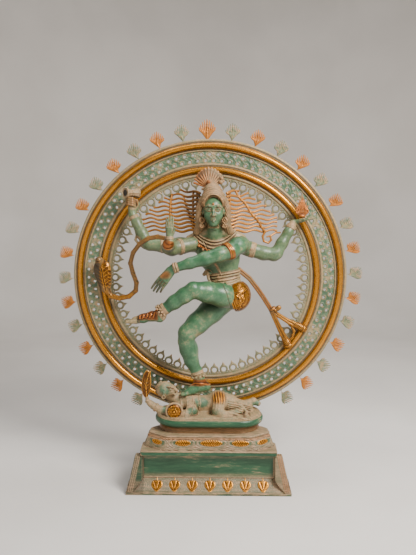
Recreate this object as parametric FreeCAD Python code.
"""Brass dancing-figure statue inside a pierced ring of flames, on a stepped plinth.

Units are millimetres. +Z is up, the statue faces -Y, and the origin is on the floor at the centre
of the plinth. The base is three hollow castings stacked and screwed together from inside. The ring
is two turned rims with a pierced band between them, a pierced petal fringe inside and cast flames
brazed round the outside; it stands on a foot behind the figure. The figure is brazed up from a
torso, head, headdress, four arms, two legs, cloth pieces and the things it holds, and it stands on
a lying dwarf.
"""

import FreeCAD
import Part

import math
import os

V = FreeCAD.Vector

# ---------------------------------------------------------------- driving dimensions
TOTAL_HEIGHT = 812.8
TOTAL_WIDTH = 711.2
TOTAL_DEPTH = 228.6

WALL = 3.0                      # wall of the hollow base castings
SKIN = 4.5                      # wall round the cores of the body, the legs and the dwarf

# ring
RING_Y = 52.0                   # plane of the ring
FLAME_TIP_R = TOTAL_WIDTH / 2 + 0.6   # no tip stands exactly level with the centre
RING_R = 316.0                  # outer edge of the outer rim
TOP_TIP_R = 361.3               # the flame at the very top is taller
RING_Z = TOTAL_HEIGHT - TOP_TIP_R
OUTER_RIM_IN = 288.0
INNER_RIM_OUT = 262.0
INNER_RIM_IN = 231.0
BAND_T = 3.5
STRIP_T = 5.0
BEAD_H = 8.5
BEAD_WALL = 2.8
OUTER_BEAD_R = 300.5            # mid radius of the gold bead
OUTER_BEAD_W = 17.0
INNER_BEAD_R = 247.0
INNER_BEAD_W = 16.0
HOLES_PER_ROW = 92
HOLE_R = 3.0
HOLE_ROWS = (282.5, 268.0)
FLAMES = 31
FLAME_STEP = 9.9                # degrees from one flame to the next
FLAME_TURN = -1.0               # the whole row stands slightly off the centre line
FLAME_R = 337.6                 # heart of a flame
TOP_FLAME_R = 339.0
FLAME_T = 3.6
FLAME_LEAN = [(0, 0), (40, 8), (80, 28), (100, 62), (160, 122)]     # place on the ring, own direction
TONGUES = 9
TONGUE_SPREAD = 122.0
NOTCH = 0.7
PETALS = 62
PETAL_R = 219.5
PETAL_EYE_R = 5.6
PETAL_RIM_R = 9.3
PETAL_TIP = 17.5
FRINGE_STRIP = 3.0
FRINGE_T = 4.0

# lower plinth
PLINTH_X = 178.0
PLINTH_Y = TOTAL_DEPTH / 2
PLINTH_LIP = 4.0
PLINTH_TOP_Z = 82.0
WING_TOP_X = 159.0              # the raised strips that frame the front panel
WING_TOP_Y = 97.0
WING_BACK_Y = -80.0
BAND_TOP_Z = 30.0               # top of the sloped leaf band, foot of the flat panel
BAND_LOW_X = 162.0
BAND_LOW_Y = 111.0
PANEL_X = 142.0
PANEL_Y = 90.0
CORE_BACK_Y = 66.0
CORNER_CUT = 26.0               # back corners are cut off square to the eye
FLANGE_X = 106.0                # window in the top plate
FLANGE_FRONT = -52.0
FLANGE_BACK = 32.0

# upper lotus plinth: wide in front under the figure, narrower behind under the ring
LOTUS_X = 147.0
LOTUS_FRONT = -102.0
LOTUS_BACK = 74.0
LOTUS_SHOULDER = -48.0          # where the wide part ends
LOTUS_REAR_X = 117.0
LOTUS_SLAB_T = 11.0
LOTUS_TOP_Z = 122.0
LOTUS_RIM_T = 5.0
LOTUS_TOP_INSET = 13.0
LOTUS_CORNER = 40.0

# oval slab that the dwarf lies on
SLAB_TOP_Z = 153.0
SLAB_X = 121.0
SLAB_FRONT = -79.0
SLAB_BACK = 34.0
NECK_INSET = 8.0
NECK_TOP_Z = 136.0

# fastenings
BOLT_R = 4.0
BOLT_Y = -20.0
POST_R = 10.0
NUT_ACROSS = 13.0
NUT_T = 7.0
SCREW_R = 2.5
SCREW_HEAD_R = 4.5
BOSS_R = 8.0
SCREW_PLACES = [(-122, -66), (122, -66), (-100, 46), (100, 46)]
FOOT_X = 46.0
FOOT_FRONT = 44.0
FOOT_BACK = 72.0
FOOT_LEDGE_Z = 8.0
FOOT_SCREWS = [(-30, 65), (30, 65)]

# headdress and hair
FEATHERS = 13
FEATHER_SPREAD = 100.0
STRANDS = 11                    # flying locks on each side
STRAND_R = 2.2
HAIR_X = 9.0                    # middle of the head
STRAND_START = 30.0
STRAND_TOP_Z = 644.0
STRAND_DROP = 82.0              # from the highest lock to the lowest
STRAND_RISE = 4.0
STRAND_END_R = 207.0            # the locks end at the tips of the fringe
STRAND_MAX_X = 152.0

SNAKE_R = 4.8
GROUND_T = 5.0                  # rough ground under the dwarf
OVAL_POINTS = 10                # points a limb's oval section is drawn through

os.makedirs("parts", exist_ok=True)


# ---------------------------------------------------------------- helpers
def export(name, shape):
    """Writes one node and prints its volume."""
    shape.exportStep("parts/%s.step" % name)
    print("%-16s solids %3d volume %9.0f valid %s" % (name, len(shape.Solids), shape.Volume, shape.isValid()))


def polygon(points):
    return Part.Face(Part.makePolygon(list(points) + [points[0]]))


def oval_wire(centre, axis, half_u, half_v, u_hint, faceted):
    """Closed oval round centre, normal to axis, with half_u along the part of u_hint normal to axis."""
    axis = V(axis).normalize()
    u = (u_hint - axis * u_hint.dot(axis)).normalize()
    v = axis.cross(u)
    points = []
    for i in range(OVAL_POINTS):
        a = 2 * math.pi * i / OVAL_POINTS
        points.append(centre + u * (half_u * math.cos(a)) + v * (half_v * math.sin(a)))
    if faceted:
        return Part.makePolygon(points + [points[0]])
    curve = Part.BSplineCurve()
    curve.interpolate(Points=points, PeriodicFlag=True)
    return Part.Wire(curve.toShape())


def eased(stations):
    """The stations with one more between each pair, placed on a smooth curve through all of them."""
    last = len(stations) - 1
    dense = [stations[0]]
    for i in range(last):
        near = [stations[max(i - 1, 0)], stations[i], stations[i + 1], stations[min(i + 2, last)]]
        dense.append(tuple((9 * (b + c) - a - d) / 16 for a, b, c, d in zip(*near)))
        dense.append(stations[i + 1])
    return dense


def limb(stations, u_hint=V(0, 1, 0), faceted=False):
    """Loft through ovals: stations are (x, y, z, half size across, half size along u_hint)."""
    dense = eased(stations)
    centres = [V(*s[:3]) for s in dense]
    wires = []
    for i, s in enumerate(dense):
        before = centres[max(i - 1, 0)]
        after = centres[min(i + 1, len(centres) - 1)]
        wires.append(oval_wire(centres[i], after - before, s[4], s[3], u_hint, faceted))
    return Part.makeLoft(wires, True, True)


def round_limb(stations, u_hint=V(0, 1, 0)):
    return limb([(x, y, z, r, r) for x, y, z, r in stations], u_hint)


def ball(x, y, z, rx, ry, rz):
    """Ellipsoid as a solid."""
    matrix = FreeCAD.Matrix()
    matrix.scale(V(rx, ry, rz))
    shape = Part.makeSphere(1.0).transformGeometry(matrix)
    shape.translate(V(x, y, z))
    return shape


def bar(points, radius):
    """Slim bar of one thickness through the points."""
    return limb([(x, y, z, radius, radius) for x, y, z in points], faceted=True)


def on_ring(radius, degrees):
    """Point of the ring's plane, degrees measured clockwise from the top as seen from the front."""
    a = math.radians(degrees)
    return V(radius * math.sin(a), RING_Y, RING_Z + radius * math.cos(a))


def ring_disc(radius, thickness):
    return Part.makeCylinder(radius, thickness, V(0, RING_Y - thickness / 2, RING_Z), V(0, 1, 0))


def joined(shapes):
    return shapes[0].multiFuse(shapes[1:])


# ---------------------------------------------------------------- base castings
def outline(points, z):
    """Closed flat polygon at height z; points list its right-hand half from front to back."""
    half = [V(x, y, z) for x, y in points]
    return Part.makePolygon(half + [V(-p.x, p.y, z) for p in reversed(half)] + [half[0]])


def slab_between(lower, z0, upper, z1):
    return Part.makeLoft([outline(lower, z0), outline(upper, z1)], True, True)


def upright(points, z0, z1):
    return slab_between(points, z0, points, z1)


def cut_back(half_x, front, back, cut=CORNER_CUT):
    """Right-hand half of a rectangle whose back corners are cut off."""
    return [(half_x, front), (half_x, back - cut), (half_x - cut, back)]


def centred_box(half_x, y0, y1, z0, z1):
    return Part.makeBox(2 * half_x, y1 - y0, z1 - z0, V(-half_x, y0, z0))


def front_frame():
    """The two raised strips at the ends of the front, with the edge that joins their feet."""
    flare = slab_between(
        [(PLINTH_X - 2, 2 - PLINTH_Y), (PLINTH_X - 2, PLINTH_Y - 2)], PLINTH_LIP,
        [(WING_TOP_X, -WING_TOP_Y), (WING_TOP_X, WING_TOP_Y)], PLINTH_TOP_Z)
    kept = centred_box(PLINTH_X, -PLINTH_Y, WING_BACK_Y, PLINTH_LIP, PLINTH_TOP_Z)
    panel = centred_box(PANEL_X, -2 * PLINTH_Y, WING_BACK_Y, BAND_TOP_Z, PLINTH_TOP_Z)
    band = slab_between(
        [(BAND_LOW_X, -2 * PLINTH_Y), (BAND_LOW_X, -BAND_LOW_Y)], PLINTH_LIP + 2,
        [(PANEL_X, -2 * PLINTH_Y), (PANEL_X, -PANEL_Y)], BAND_TOP_Z)
    return flare.common(kept).cut(panel).cut(band)


def lower_plinth():
    lip = upright(cut_back(PLINTH_X, -PLINTH_Y, PLINTH_Y), 0, PLINTH_LIP)
    core_plan = cut_back(PANEL_X, -PANEL_Y, CORE_BACK_Y)
    skirt_plan = cut_back(PLINTH_X - 2, -BAND_LOW_Y, PLINTH_Y - 2)
    skirt = slab_between(skirt_plan, PLINTH_LIP, core_plan, BAND_TOP_Z)
    core = upright(core_plan, BAND_TOP_Z, PLINTH_TOP_Z)
    body = joined([lip, skirt, core, front_frame()])
    inner = cut_back(PANEL_X - WALL, WALL - PANEL_Y, CORE_BACK_Y - WALL, CORNER_CUT - WALL)
    inner_low = cut_back(PLINTH_X - 3 * WALL, 3 * WALL - PLINTH_Y, PLINTH_Y - 3 * WALL)
    hollow_low = slab_between(inner_low, -1, inner, BAND_TOP_Z - WALL)
    hollow = upright(inner, BAND_TOP_Z - WALL, PLINTH_TOP_Z - WALL)
    window = centred_box(FLANGE_X, FLANGE_FRONT, FLANGE_BACK, PLINTH_TOP_Z - 2 * WALL, PLINTH_TOP_Z + 1)
    holes = screw_holes(SCREW_PLACES, PLINTH_TOP_Z - 30, 31)
    return body.cut(hollow_low).cut(hollow).cut(window).cut(holes)


def lotus_plan(inset, corner=0.0):
    """Half outline of the lotus plinth; corner cuts the front corners off as well."""
    front = LOTUS_FRONT + inset
    side = LOTUS_X - inset
    rear = LOTUS_REAR_X - inset / 2
    neck = LOTUS_SHOULDER + LOTUS_X - LOTUS_REAR_X - inset
    return [(side - corner, front), (side, front + 0.7 * corner), (side, LOTUS_SHOULDER - inset / 2),
            (rear, neck), (rear, LOTUS_BACK - inset / 3)]


def upper_plinth():
    slab_top = PLINTH_TOP_Z + LOTUS_SLAB_T
    rim_z = LOTUS_TOP_Z - LOTUS_RIM_T
    top_plan = lotus_plan(LOTUS_TOP_INSET, LOTUS_CORNER)
    slab = upright(lotus_plan(0, 1), PLINTH_TOP_Z, slab_top)
    petals = slab_between(lotus_plan(4, LOTUS_CORNER), slab_top, top_plan, rim_z)
    rim = upright(top_plan, rim_z, LOTUS_TOP_Z)
    hollow = slab_between(lotus_plan(20, LOTUS_CORNER - 10), PLINTH_TOP_Z - 1,
                          lotus_plan(LOTUS_TOP_INSET + 2 * WALL, LOTUS_CORNER - 14), LOTUS_TOP_Z - WALL)
    bosses = [Part.makeCylinder(BOSS_R, LOTUS_SLAB_T + 3, V(x, y, PLINTH_TOP_Z)) for x, y in SCREW_PLACES]
    body = joined([slab, petals, rim]).cut(hollow)
    body = joined([body] + bosses)
    body = body.cut(screw_holes(SCREW_PLACES, PLINTH_TOP_Z - 1, LOTUS_SLAB_T))
    body = body.cut(screw_holes(FOOT_SCREWS, LOTUS_TOP_Z - 2 * WALL, 3 * WALL))
    return body.cut(Part.makeCylinder(BOLT_R, 2 * WALL, V(0, BOLT_Y, LOTUS_TOP_Z - 1.5 * WALL)))


def oval(half_x, front, back, z0, z1):
    """Long plate with half-round ends."""
    radius = (back - front) / 2
    centre = (front + back) / 2
    plate = Part.makeBox(2 * (half_x - radius), 2 * radius, z1 - z0, V(radius - half_x, front, z0))
    end_x = half_x - radius
    ends = [Part.makeCylinder(radius, z1 - z0, V(x, centre, z0)) for x in (-end_x, end_x)]
    return joined([plate] + ends).removeSplitter()


def figure_slab():
    """Hollow oval casting with a central post that the figure's stud is screwed into."""
    neck = oval(SLAB_X - NECK_INSET, SLAB_FRONT + NECK_INSET, SLAB_BACK, LOTUS_TOP_Z, NECK_TOP_Z)
    slab = oval(SLAB_X, SLAB_FRONT, SLAB_BACK, NECK_TOP_Z, SLAB_TOP_Z)
    wall = NECK_INSET + WALL
    inside = oval(SLAB_X - wall, SLAB_FRONT + wall, SLAB_BACK - WALL, LOTUS_TOP_Z - 1, SLAB_TOP_Z - WALL)
    post = Part.makeCylinder(POST_R, SLAB_TOP_Z - LOTUS_TOP_Z - WALL / 2, V(0, BOLT_Y, LOTUS_TOP_Z))
    hole = Part.makeCylinder(BOLT_R, SLAB_TOP_Z - LOTUS_TOP_Z - 2 * WALL, V(0, BOLT_Y, LOTUS_TOP_Z - 1))
    return neck.fuse(slab).cut(inside).fuse(post).cut(hole)


# ---------------------------------------------------------------- fastenings
def screw(x, y, head_z, length, up):
    """Round-headed screw: head at head_z, shank running up (+1) or down (-1)."""
    shank = Part.makeCylinder(SCREW_R, length, V(x, y, head_z), V(0, 0, up))
    head = Part.makeCylinder(SCREW_HEAD_R, 3, V(x, y, head_z), V(0, 0, -up))
    return shank.fuse(head)


def screw_holes(places, z, depth):
    return Part.makeCompound([Part.makeCylinder(SCREW_R, depth, V(x, y, z)) for x, y in places])


def plinth_screws():
    return Part.makeCompound([screw(x, y, PLINTH_TOP_Z - WALL, WALL + 8, 1) for x, y in SCREW_PLACES])


def ring_screws():
    head_z = LOTUS_TOP_Z + FOOT_LEDGE_Z
    return Part.makeCompound([screw(x, y, head_z, FOOT_LEDGE_Z + WALL, -1) for x, y in FOOT_SCREWS])


def figure_stud():
    """Threaded stud that pulls the figure's slab down on the plinth, with its nut underneath."""
    top = SLAB_TOP_Z - 2 * WALL - 1
    bottom = LOTUS_TOP_Z - WALL - 14
    stud = Part.makeCylinder(BOLT_R, top - bottom, V(0, BOLT_Y, bottom))
    nut_r = NUT_ACROSS / math.sqrt(3)
    nut_z = LOTUS_TOP_Z - WALL - NUT_T
    corners = []
    for i in range(6):
        a = math.radians(60 * i)
        corners.append(V(nut_r * math.cos(a), BOLT_Y + nut_r * math.sin(a), nut_z))
    nut = polygon(corners).extrude(V(0, 0, NUT_T))
    return stud.fuse(nut)


# ---------------------------------------------------------------- ring
def rim(outer, inner, bead_mid, bead_width):
    """Rim cast with a half-round bead on its front face and a matching groove behind it."""
    front = -STRIP_T / 2
    back = STRIP_T / 2
    high = bead_mid + bead_width / 2
    low = bead_mid - bead_width / 2
    groove = BEAD_WALL
    bead = Part.Arc(V(high, front, 0), V(bead_mid, front - BEAD_H, 0), V(low, front, 0))
    deepest = V(bead_mid, front - BEAD_H + groove, 0)
    hollow = Part.Arc(V(low + groove, back, 0), deepest, V(high - groove, back, 0))
    face = Part.Face(Part.Wire([
        Part.makeLine(V(outer, front, 0), V(high, front, 0)), bead.toShape(),
        Part.makeLine(V(low, front, 0), V(inner, front, 0)),
        Part.makeLine(V(inner, front, 0), V(inner, back, 0)),
        Part.makeLine(V(inner, back, 0), V(low + groove, back, 0)), hollow.toShape(),
        Part.makeLine(V(high - groove, back, 0), V(outer, back, 0)),
        Part.makeLine(V(outer, back, 0), V(outer, front, 0)),
    ]))
    shape = face.revolve(V(0, 0, 0), V(0, 1, 0), 360)
    shape.translate(V(0, RING_Y, RING_Z))
    return shape


def openwork_band():
    """Flat ring between the rims, with two staggered rows of small holes."""
    step = 360.0 / HOLES_PER_ROW
    outer = Part.Wire(Part.Circle(V(0, 0, 0), V(0, 1, 0), OUTER_RIM_IN).toShape())
    inner = Part.Wire(Part.Circle(V(0, 0, 0), V(0, 1, 0), INNER_RIM_OUT).toShape())
    holes = []
    for row, radius in enumerate(HOLE_ROWS):
        for i in range(HOLES_PER_ROW):
            a = math.radians((i + 0.5 * row) * step)
            centre = V(radius * math.sin(a), 0, radius * math.cos(a))
            holes.append(Part.Wire(Part.Circle(centre, V(0, 1, 0), HOLE_R).toShape()))
    face = Part.Face([outer, inner] + holes, "Part::FaceMakerBullseye")
    shape = face.extrude(V(0, BAND_T, 0))
    shape.translate(V(0, RING_Y - BAND_T / 2, RING_Z))
    return shape


def petal_fringe():
    """Row of pierced petals, each a small eyelet with its point towards the middle of the ring."""
    step = 360.0 / PETALS
    strip = ring_disc(INNER_RIM_IN, FRINGE_T).cut(ring_disc(INNER_RIM_IN - FRINGE_STRIP, FRINGE_T + 2))
    petals = []
    eyes = []
    half_angle = math.acos(PETAL_RIM_R / PETAL_TIP)
    for i in range(PETALS):
        angle = (i + 0.5) * step
        centre = on_ring(PETAL_R, angle)
        inward = (on_ring(0, 0) - centre).normalize()
        across = inward.cross(V(0, 1, 0))
        base = centre - V(0, FRINGE_T / 2, 0)
        left = base + (inward * math.cos(half_angle) + across * math.sin(half_angle)) * PETAL_RIM_R
        right = base + (inward * math.cos(half_angle) - across * math.sin(half_angle)) * PETAL_RIM_R
        back = base - inward * PETAL_RIM_R
        outline = Part.Wire([
            Part.makeLine(base + inward * PETAL_TIP, left),
            Part.Arc(left, back, right).toShape(),
            Part.makeLine(right, base + inward * PETAL_TIP),
        ])
        petals.append(Part.Face(outline).extrude(V(0, FRINGE_T, 0)))
        eyes.append(Part.makeCylinder(PETAL_EYE_R, FRINGE_T + 2, base - V(0, 1, 0), V(0, 1, 0)))
    return joined([strip] + petals).cut(Part.makeCompound(eyes))


def flame_lean(degrees):
    """Direction a flame points in: they lick upwards, more than the radius they stand on."""
    place = abs(degrees)
    for (a0, lean0), (a1, lean1) in zip(FLAME_LEAN, FLAME_LEAN[1:]):
        if place <= a1:
            break
    lean = lean0 + (lean1 - lean0) * (place - a0) / (a1 - a0)
    return math.copysign(lean, degrees)


def leaf(heart, lean, reach, thickness):
    """Flat hand of tongues round heart; lean is the middle tongue's direction in degrees from upright."""
    along = V(math.sin(math.radians(lean)), 0, math.cos(math.radians(lean)))
    across = V(along.z, 0, -along.x)
    points = []
    for i in range(2 * TONGUES - 1):
        spread = math.radians(TONGUE_SPREAD * (i / (TONGUES - 1) - 1))
        length = reach * (NOTCH if i % 2 else 1.0)
        points.append(heart + along * (length * math.cos(spread)) + across * (length * math.sin(spread)))
    shape = polygon(points).extrude(V(0, thickness, 0))
    shape.translate(V(0, -thickness / 2, 0))
    return shape


def flame(degrees, heart_r, tip_r):
    """Hand-shaped flame of nine tongues on a short stem brazed to the rim."""
    heart = on_ring(heart_r, degrees)
    root = on_ring(RING_R - 2, degrees)
    side = (heart - root).cross(V(0, 1, 0)).normalize() * FLAME_T
    stem = polygon([root + side, root - side, heart - side, heart + side]).extrude(V(0, FLAME_T, 0))
    stem.translate(V(0, -FLAME_T / 2, 0))
    shape = leaf(heart, flame_lean(degrees), tip_r - heart_r, FLAME_T).fuse(stem)
    return shape.cut(ring_disc(RING_R, 4 * FLAME_T))


def ring_foot():
    """Cast cradle under the ring, with a ledge behind that is screwed to the upper plinth."""
    block = centred_box(FOOT_X, FOOT_FRONT, FOOT_BACK, LOTUS_TOP_Z, LOTUS_TOP_Z + 24)
    ledge_z = LOTUS_TOP_Z + FOOT_LEDGE_Z
    above_ledge = centred_box(FOOT_X + 1, RING_Y + 6, FOOT_BACK + 1, ledge_z, LOTUS_TOP_Z + 30)
    holes = screw_holes(FOOT_SCREWS, LOTUS_TOP_Z - 1, 12)
    return block.cut(above_ledge).cut(ring_disc(RING_R, 60)).cut(holes)


# ---------------------------------------------------------------- figure
TRUNK = [
    (40, -12, 392, 34, 24), (42, -12, 416, 42, 29), (38, -13, 440, 37, 26), (31, -16, 466, 33, 22),
    (27, -17, 495, 42, 25), (20, -16, 516, 50, 26), (13, -14, 534, 50, 22), (12, -18, 547, 27, 17),
    (11, -24, 560, 15, 14), (10, -28, 576, 14, 14),
]
STANDING_LEG = [
    (26, -8, 402, 29, 27), (-8, -20, 372, 25, 25), (-48, -33, 340, 19, 21), (-50, -25, 306, 19, 18),
    (-40, -19, 270, 16, 15), (-25, -14, 238, 11.5, 11), (-18, -14, 216, 12, 12),
]
RAISED_LEG = [
    (56, -22, 417, 30, 28), (14, -48, 427, 24, 24), (-34, -72, 436, 19, 20), (-60, -72, 425, 19, 18),
    (-85, -68, 407, 15, 14), (-108, -64, 388, 11, 10),
]
DEMON = [
    (-78, -18, 178, 14, 15), (-62, -18, 178, 20, 22), (-38, -17, 176, 22, 24), (-8, -17, 173, 20, 22),
    (20, -18, 176, 24, 25), (44, -18, 173, 21, 22), (70, -15, 166, 14, 16), (104, -8, 160, 8, 10),
]


def core(stations):
    """The hollow left inside a limb by its clay core, which stops one station short of each end."""
    return limb([(x, y, z, a - SKIN, b - SKIN) for x, y, z, a, b in stations[1:-1]])


def torso():
    """Trunk and neck, with the mantle of hair that lies over both shoulders."""
    mantle = round_limb([(-38, -12, 541, 12), (-12, -17, 556, 11), (12, -20, 562, 13),
                         (40, -17, 556, 12), (66, -12, 543, 13)])
    return limb(TRUNK).fuse(mantle)


def head():
    return limb([
        (9, -34, 571, 7, 7), (9, -37, 577, 15, 17), (9, -38, 588, 20, 23), (9.5, -38, 604, 23, 26),
        (9.5, -37, 620, 23, 26), (9, -35, 633, 20, 22),
    ])


def headdress():
    """Cap of piled hair with side locks, and a fan of feathers standing above it."""
    cap = limb([(8.5, -34, 626, 28, 27), (8, -32, 640, 26, 25), (6, -29, 652, 19, 19), (4, -25, 662, 9, 11)])
    locks = [
        round_limb([(side * 27 + 9, -26, 636, 6), (side * 31 + 9, -24, 604, 7.5),
                    (side * 27 + 9, -24, 572, 7)])
        for side in (-1, 1)
    ]
    web = limb([(0, -18, 648, 18, 6), (-1, -10, 664, 28, 5), (-1, -3, 684, 25, 4), (0, 0, 697, 11, 3)])
    foot = V(0, -12, 660)
    feathers = []
    for i in range(FEATHERS):
        a = math.radians(FEATHER_SPREAD * (2 * i / (FEATHERS - 1) - 1))
        tip = foot + V(33 * math.sin(a), 11, 39 * math.cos(a))
        middle = (foot + tip) / 2
        feathers.append(round_limb([(*foot, 3.6), (*middle, 4.6), (*tip, 3.4)]))
    return joined([cap, web] + locks + feathers)


def blessing_arm():
    arm = limb([(-38, -24, 534, 16, 16), (-62, -34, 529, 15, 16), (-84, -48, 527, 14, 14),
                (-84, -66, 535, 12, 12), (-83, -76, 544, 10, 9)])
    hand = limb([(-83, -76, 546, 8, 6), (-82, -74, 560, 11, 5), (-82, -72, 576, 10, 4),
                 (-82, -69, 594, 6, 3)])
    return arm.fuse(hand)


def crossing_arm():
    return joined([
        limb([(66, -26, 535, 18, 18), (60, -44, 530, 19, 18), (44, -64, 521, 17, 17),
              (12, -71, 511, 15, 15), (-30, -76, 498, 13, 12), (-74, -78, 486, 9, 9)], V(0, 0, 1)),
        limb([(-72, -78, 487, 8, 7), (-88, -77, 477, 11, 6), (-104, -74, 461, 11, 5),
              (-124, -67, 434, 6, 3)]),
    ])


def drum_arm():
    return round_limb([(-28, 2, 530, 16), (-66, 5, 530, 16), (-104, 6, 528, 15), (-136, 7, 532, 14),
                       (-152, 11, 556, 12.5), (-166, 16, 580, 11), (-173, 19, 598, 9.5), (-174, 21, 615, 10.5),
                       (-174, 22, 630, 8)])


def flame_arm():
    arm = round_limb([(62, 2, 530, 17), (90, 2, 521, 16.5), (120, 3, 511, 15), (149, 5, 509, 14),
                      (162, 9, 532, 13), (176, 14, 558, 11.5), (188, 18, 579, 9)])
    palm = limb([(182, 18, 582, 8, 9), (200, 20, 588, 6, 11), (216, 20, 590, 5, 10), (236, 20, 592, 3, 6)])
    return arm.fuse(palm)


DRUM_CENTRE = V(-175, 22, 645.5)
DRUM_AXIS = V(-0.72, -0.69, 0.02)


def drum():
    """Hourglass hand drum."""
    axis = DRUM_AXIS.normalize()
    length, end_r, waist_r = 36.0, 12.0, 6.0
    start = DRUM_CENTRE - axis * (length / 2)
    one = Part.makeCone(end_r, waist_r, length / 2, start, axis)
    two = Part.makeCone(waist_r, end_r, length / 2, DRUM_CENTRE, axis)
    return one.fuse(two)


def hand_flame():
    """Fire held in the open palm."""
    return leaf(V(207, 20, 614), 0, 28, 9)


def standing_leg():
    foot = limb([(2, -12, 211, 12, 11), (-18, -16, 210, 13, 13), (-40, -24, 203, 9, 14),
                 (-62, -33, 198, 5, 12)])
    return limb(STANDING_LEG).fuse(foot)


def raised_leg():
    foot = limb([(-99, -62, 381, 11, 10), (-120, -61, 379, 12, 12), (-145, -59, 374, 9, 13),
                 (-168, -57, 369, 7, 13), (-184, -56, 366, 4, 10)])
    return limb(RAISED_LEG).fuse(foot)


def hip_cloth():
    """Cloth drawn tight round the hip and the top of the raised thigh."""
    return ball(62, -16, 419, 30, 33, 35)


def flying_sash():
    main = limb([(44, 0, 484, 4, 4), (90, 6, 455, 5, 4), (118, 14, 418, 6, 4), (142, 24, 379, 8, 5),
                 (176, 36, 356, 6, 5), (216, 45, 333, 9, 4)])
    branch = limb([(138, 23, 384, 6, 4), (160, 32, 340, 7, 5), (182, 43, 294, 9, 4)])
    knob = Part.makeSphere(6, V(158, 24, 386))
    tie = round_limb([(146, 24, 378, 4), (158, 24, 386, 4)])
    return joined([main, branch, tie, knob])


def strand_reach(side, row):
    """How far lock number row runs sideways before it meets the tips of the fringe."""
    end_z = STRAND_TOP_Z - STRAND_DROP * row / (STRANDS - 1) + STRAND_RISE
    meets = math.sqrt(STRAND_END_R ** 2 - (end_z - RING_Z) ** 2)
    return min(meets, STRAND_MAX_X) - side * HAIR_X - STRAND_START


def strand_point(side, row, along):
    """Point on lock number row of a hair fan, along from 0 at the head to 1 at the ring."""
    z = STRAND_TOP_Z - STRAND_DROP * row / (STRANDS - 1) + STRAND_RISE * along
    across = STRAND_START + strand_reach(side, row) * along
    return (HAIR_X + side * across, -10 + 59 * along, z)


def strand_at(side, row, x):
    """Point where lock number row passes x, or its nearer end."""
    along = (side * (x - HAIR_X) - STRAND_START) / strand_reach(side, row)
    return strand_point(side, row, min(max(along, 0), 1))


def hair_fan(side):
    """Flying locks fanning out from behind the head, held by an upright bar and a second tie."""
    last = STRANDS - 1
    bars = [bar([strand_point(side, row, k / 3) for k in range(4)], STRAND_R) for row in range(STRANDS)]
    near_x = HAIR_X + side * (STRAND_START + 6)
    bars.append(bar([strand_at(side, row, near_x) for row in range(STRANDS)], STRAND_R + 1))
    first_row, start_x, end_x = (1, -88, -88) if side < 0 else (0, 58, 125)
    step_x = (end_x - start_x) / last
    tie = [strand_at(side, row, start_x + step_x * row) for row in range(first_row, STRANDS)]
    bars.append(bar(tie, STRAND_R + 0.6))
    return joined(bars)


def cobra():
    body = bar([(-92, -56, 549), (-110, -51, 551), (-131, -40, 547), (-152, -28, 534), (-170, -16, 513),
                 (-177, -6, 490), (-172, 4, 467), (-165, 11, 444), (-170, 17, 424), (-187, 22, 411),
                 (-209, 26, 407), (-230, 30, 413), (-241, 32, 432)], SNAKE_R)
    hood = limb([(-239, 32, 420, 8, 7), (-243, 32, 440, 14, 8), (-246, 31, 466, 21, 10),
                 (-249, 28, 486, 18, 9), (-251, 20, 498, 9, 8)])
    return body.fuse(hood)


# ---------------------------------------------------------------- dwarf
def dwarf():
    """Demon lying face down across the slab, with its head raised."""
    trunk = limb(DEMON)
    skull = ball(-98, -26, 206, 20, 19, 20)
    neck = round_limb([(-92, -24, 198, 11), (-70, -18, 180, 14)])
    far_arm = round_limb([(-62, -34, 172, 9), (-84, -44, 160, 9), (-112, -44, 166, 8),
                          (-132, -40, 178, 7.5)])
    near_arm = round_limb([(-50, -34, 176, 10), (-34, -50, 166, 9.5), (-50, -58, 161, 8),
                           (-68, -58, 166, 6)])
    thigh = round_limb([(24, -26, 176, 16), (21, -48, 165, 12), (40, -52, 162, 9),
                        (60, -46, 161, 8)])
    shin = round_limb([(70, -16, 170, 11), (92, -12, 172, 9), (110, -8, 168, 7)])
    ground = oval(SLAB_X - 5, SLAB_FRONT + 5, SLAB_BACK - 5, SLAB_TOP_Z, SLAB_TOP_Z + GROUND_T)
    below = centred_box(SLAB_X + 20, -PLINTH_Y, PLINTH_Y, 0, SLAB_TOP_Z)
    return joined([trunk, skull, neck, far_arm, near_arm, thigh, shin, ground]).cut(below)


def dwarf_blade():
    return limb([(-139, -34, 186, 3, 3), (-141, -34, 206, 9, 3.5), (-140, -33, 226, 10, 3.5),
                 (-133, -31, 250, 2, 2)])


def dwarf_shield():
    disc = Part.makeCylinder(19, 6, V(-76, -62, 170), V(0, -1, 0))
    dome = Part.makeSphere(30, V(-76, -44, 170))
    boss = dome.common(Part.makeCylinder(14, 30, V(-76, -62, 170), V(0, -1, 0)))
    return disc.fuse(boss)


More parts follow.
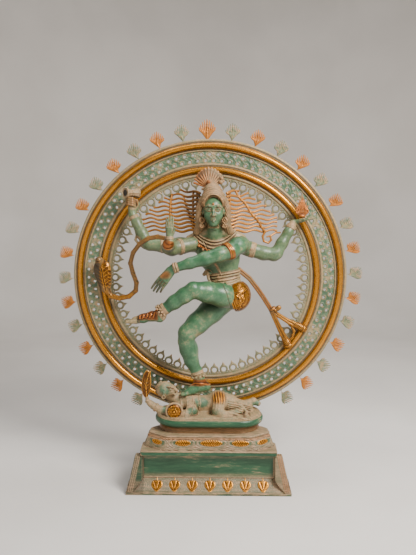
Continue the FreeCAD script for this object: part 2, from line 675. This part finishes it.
# ---------------------------------------------------------------- assembly
FIGURE_PIECES = (
    ("torso", torso), ("head", head), ("headdress", headdress), ("blessing_arm", blessing_arm),
    ("crossing_arm", crossing_arm), ("drum_arm", drum_arm), ("flame_arm", flame_arm), ("drum", drum),
    ("hand_flame", hand_flame), ("raised_leg", raised_leg), ("standing_leg", standing_leg),
    ("hip_cloth", hip_cloth), ("flying_sash", flying_sash), ("cobra", cobra),
    ("hair_fan_left", lambda: hair_fan(-1)), ("hair_fan_right", lambda: hair_fan(1)),
    ("dwarf_blade", dwarf_blade), ("dwarf_shield", dwarf_shield), ("dwarf", dwarf),
)

CORES = {
    "torso": TRUNK[:-2],
    "standing_leg": STANDING_LEG[:-1],
    "raised_leg": RAISED_LEG,
    "dwarf": DEMON[:-1],
}


def fitted(shape, others):
    """Shape cut back to where it meets the pieces already placed, so that the castings butt together."""
    for other in others:
        if shape.BoundBox.intersect(other.BoundBox):
            shape = shape.cut(other)
    return max(shape.Solids, key=lambda solid: solid.Volume)


def main():
    export("lower_plinth", lower_plinth())
    export("upper_plinth", upper_plinth())
    export("figure_slab", figure_slab())
    export("figure_stud", figure_stud())
    export("ring_foot", ring_foot())
    export("base_screws", Part.makeCompound([plinth_screws(), ring_screws()]))

    ring = [
        ("outer_rim", rim(RING_R, OUTER_RIM_IN, OUTER_BEAD_R, OUTER_BEAD_W)),
        ("inner_rim", rim(INNER_RIM_OUT, INNER_RIM_IN, INNER_BEAD_R, INNER_BEAD_W)),
        ("openwork_band", openwork_band()),
        ("petal_fringe", petal_fringe()),
    ]
    for name, shape in ring:
        export(name, shape)
    middle = (FLAMES - 1) // 2
    for i in range(FLAMES):
        degrees = FLAME_TURN + FLAME_STEP * (i - middle)
        if i == middle:
            shape = flame(degrees, TOP_FLAME_R, TOP_TIP_R)
        else:
            shape = flame(degrees, FLAME_R, FLAME_TIP_R)
        export("flame_%02d" % (i + 1), shape)

    placed = [shape for name, shape in ring]
    for name, make in FIGURE_PIECES:
        shape = fitted(make(), placed)
        placed.append(shape)
        if name in CORES:
            shape = shape.cut(core(CORES[name]))
        export(name, shape)


main()
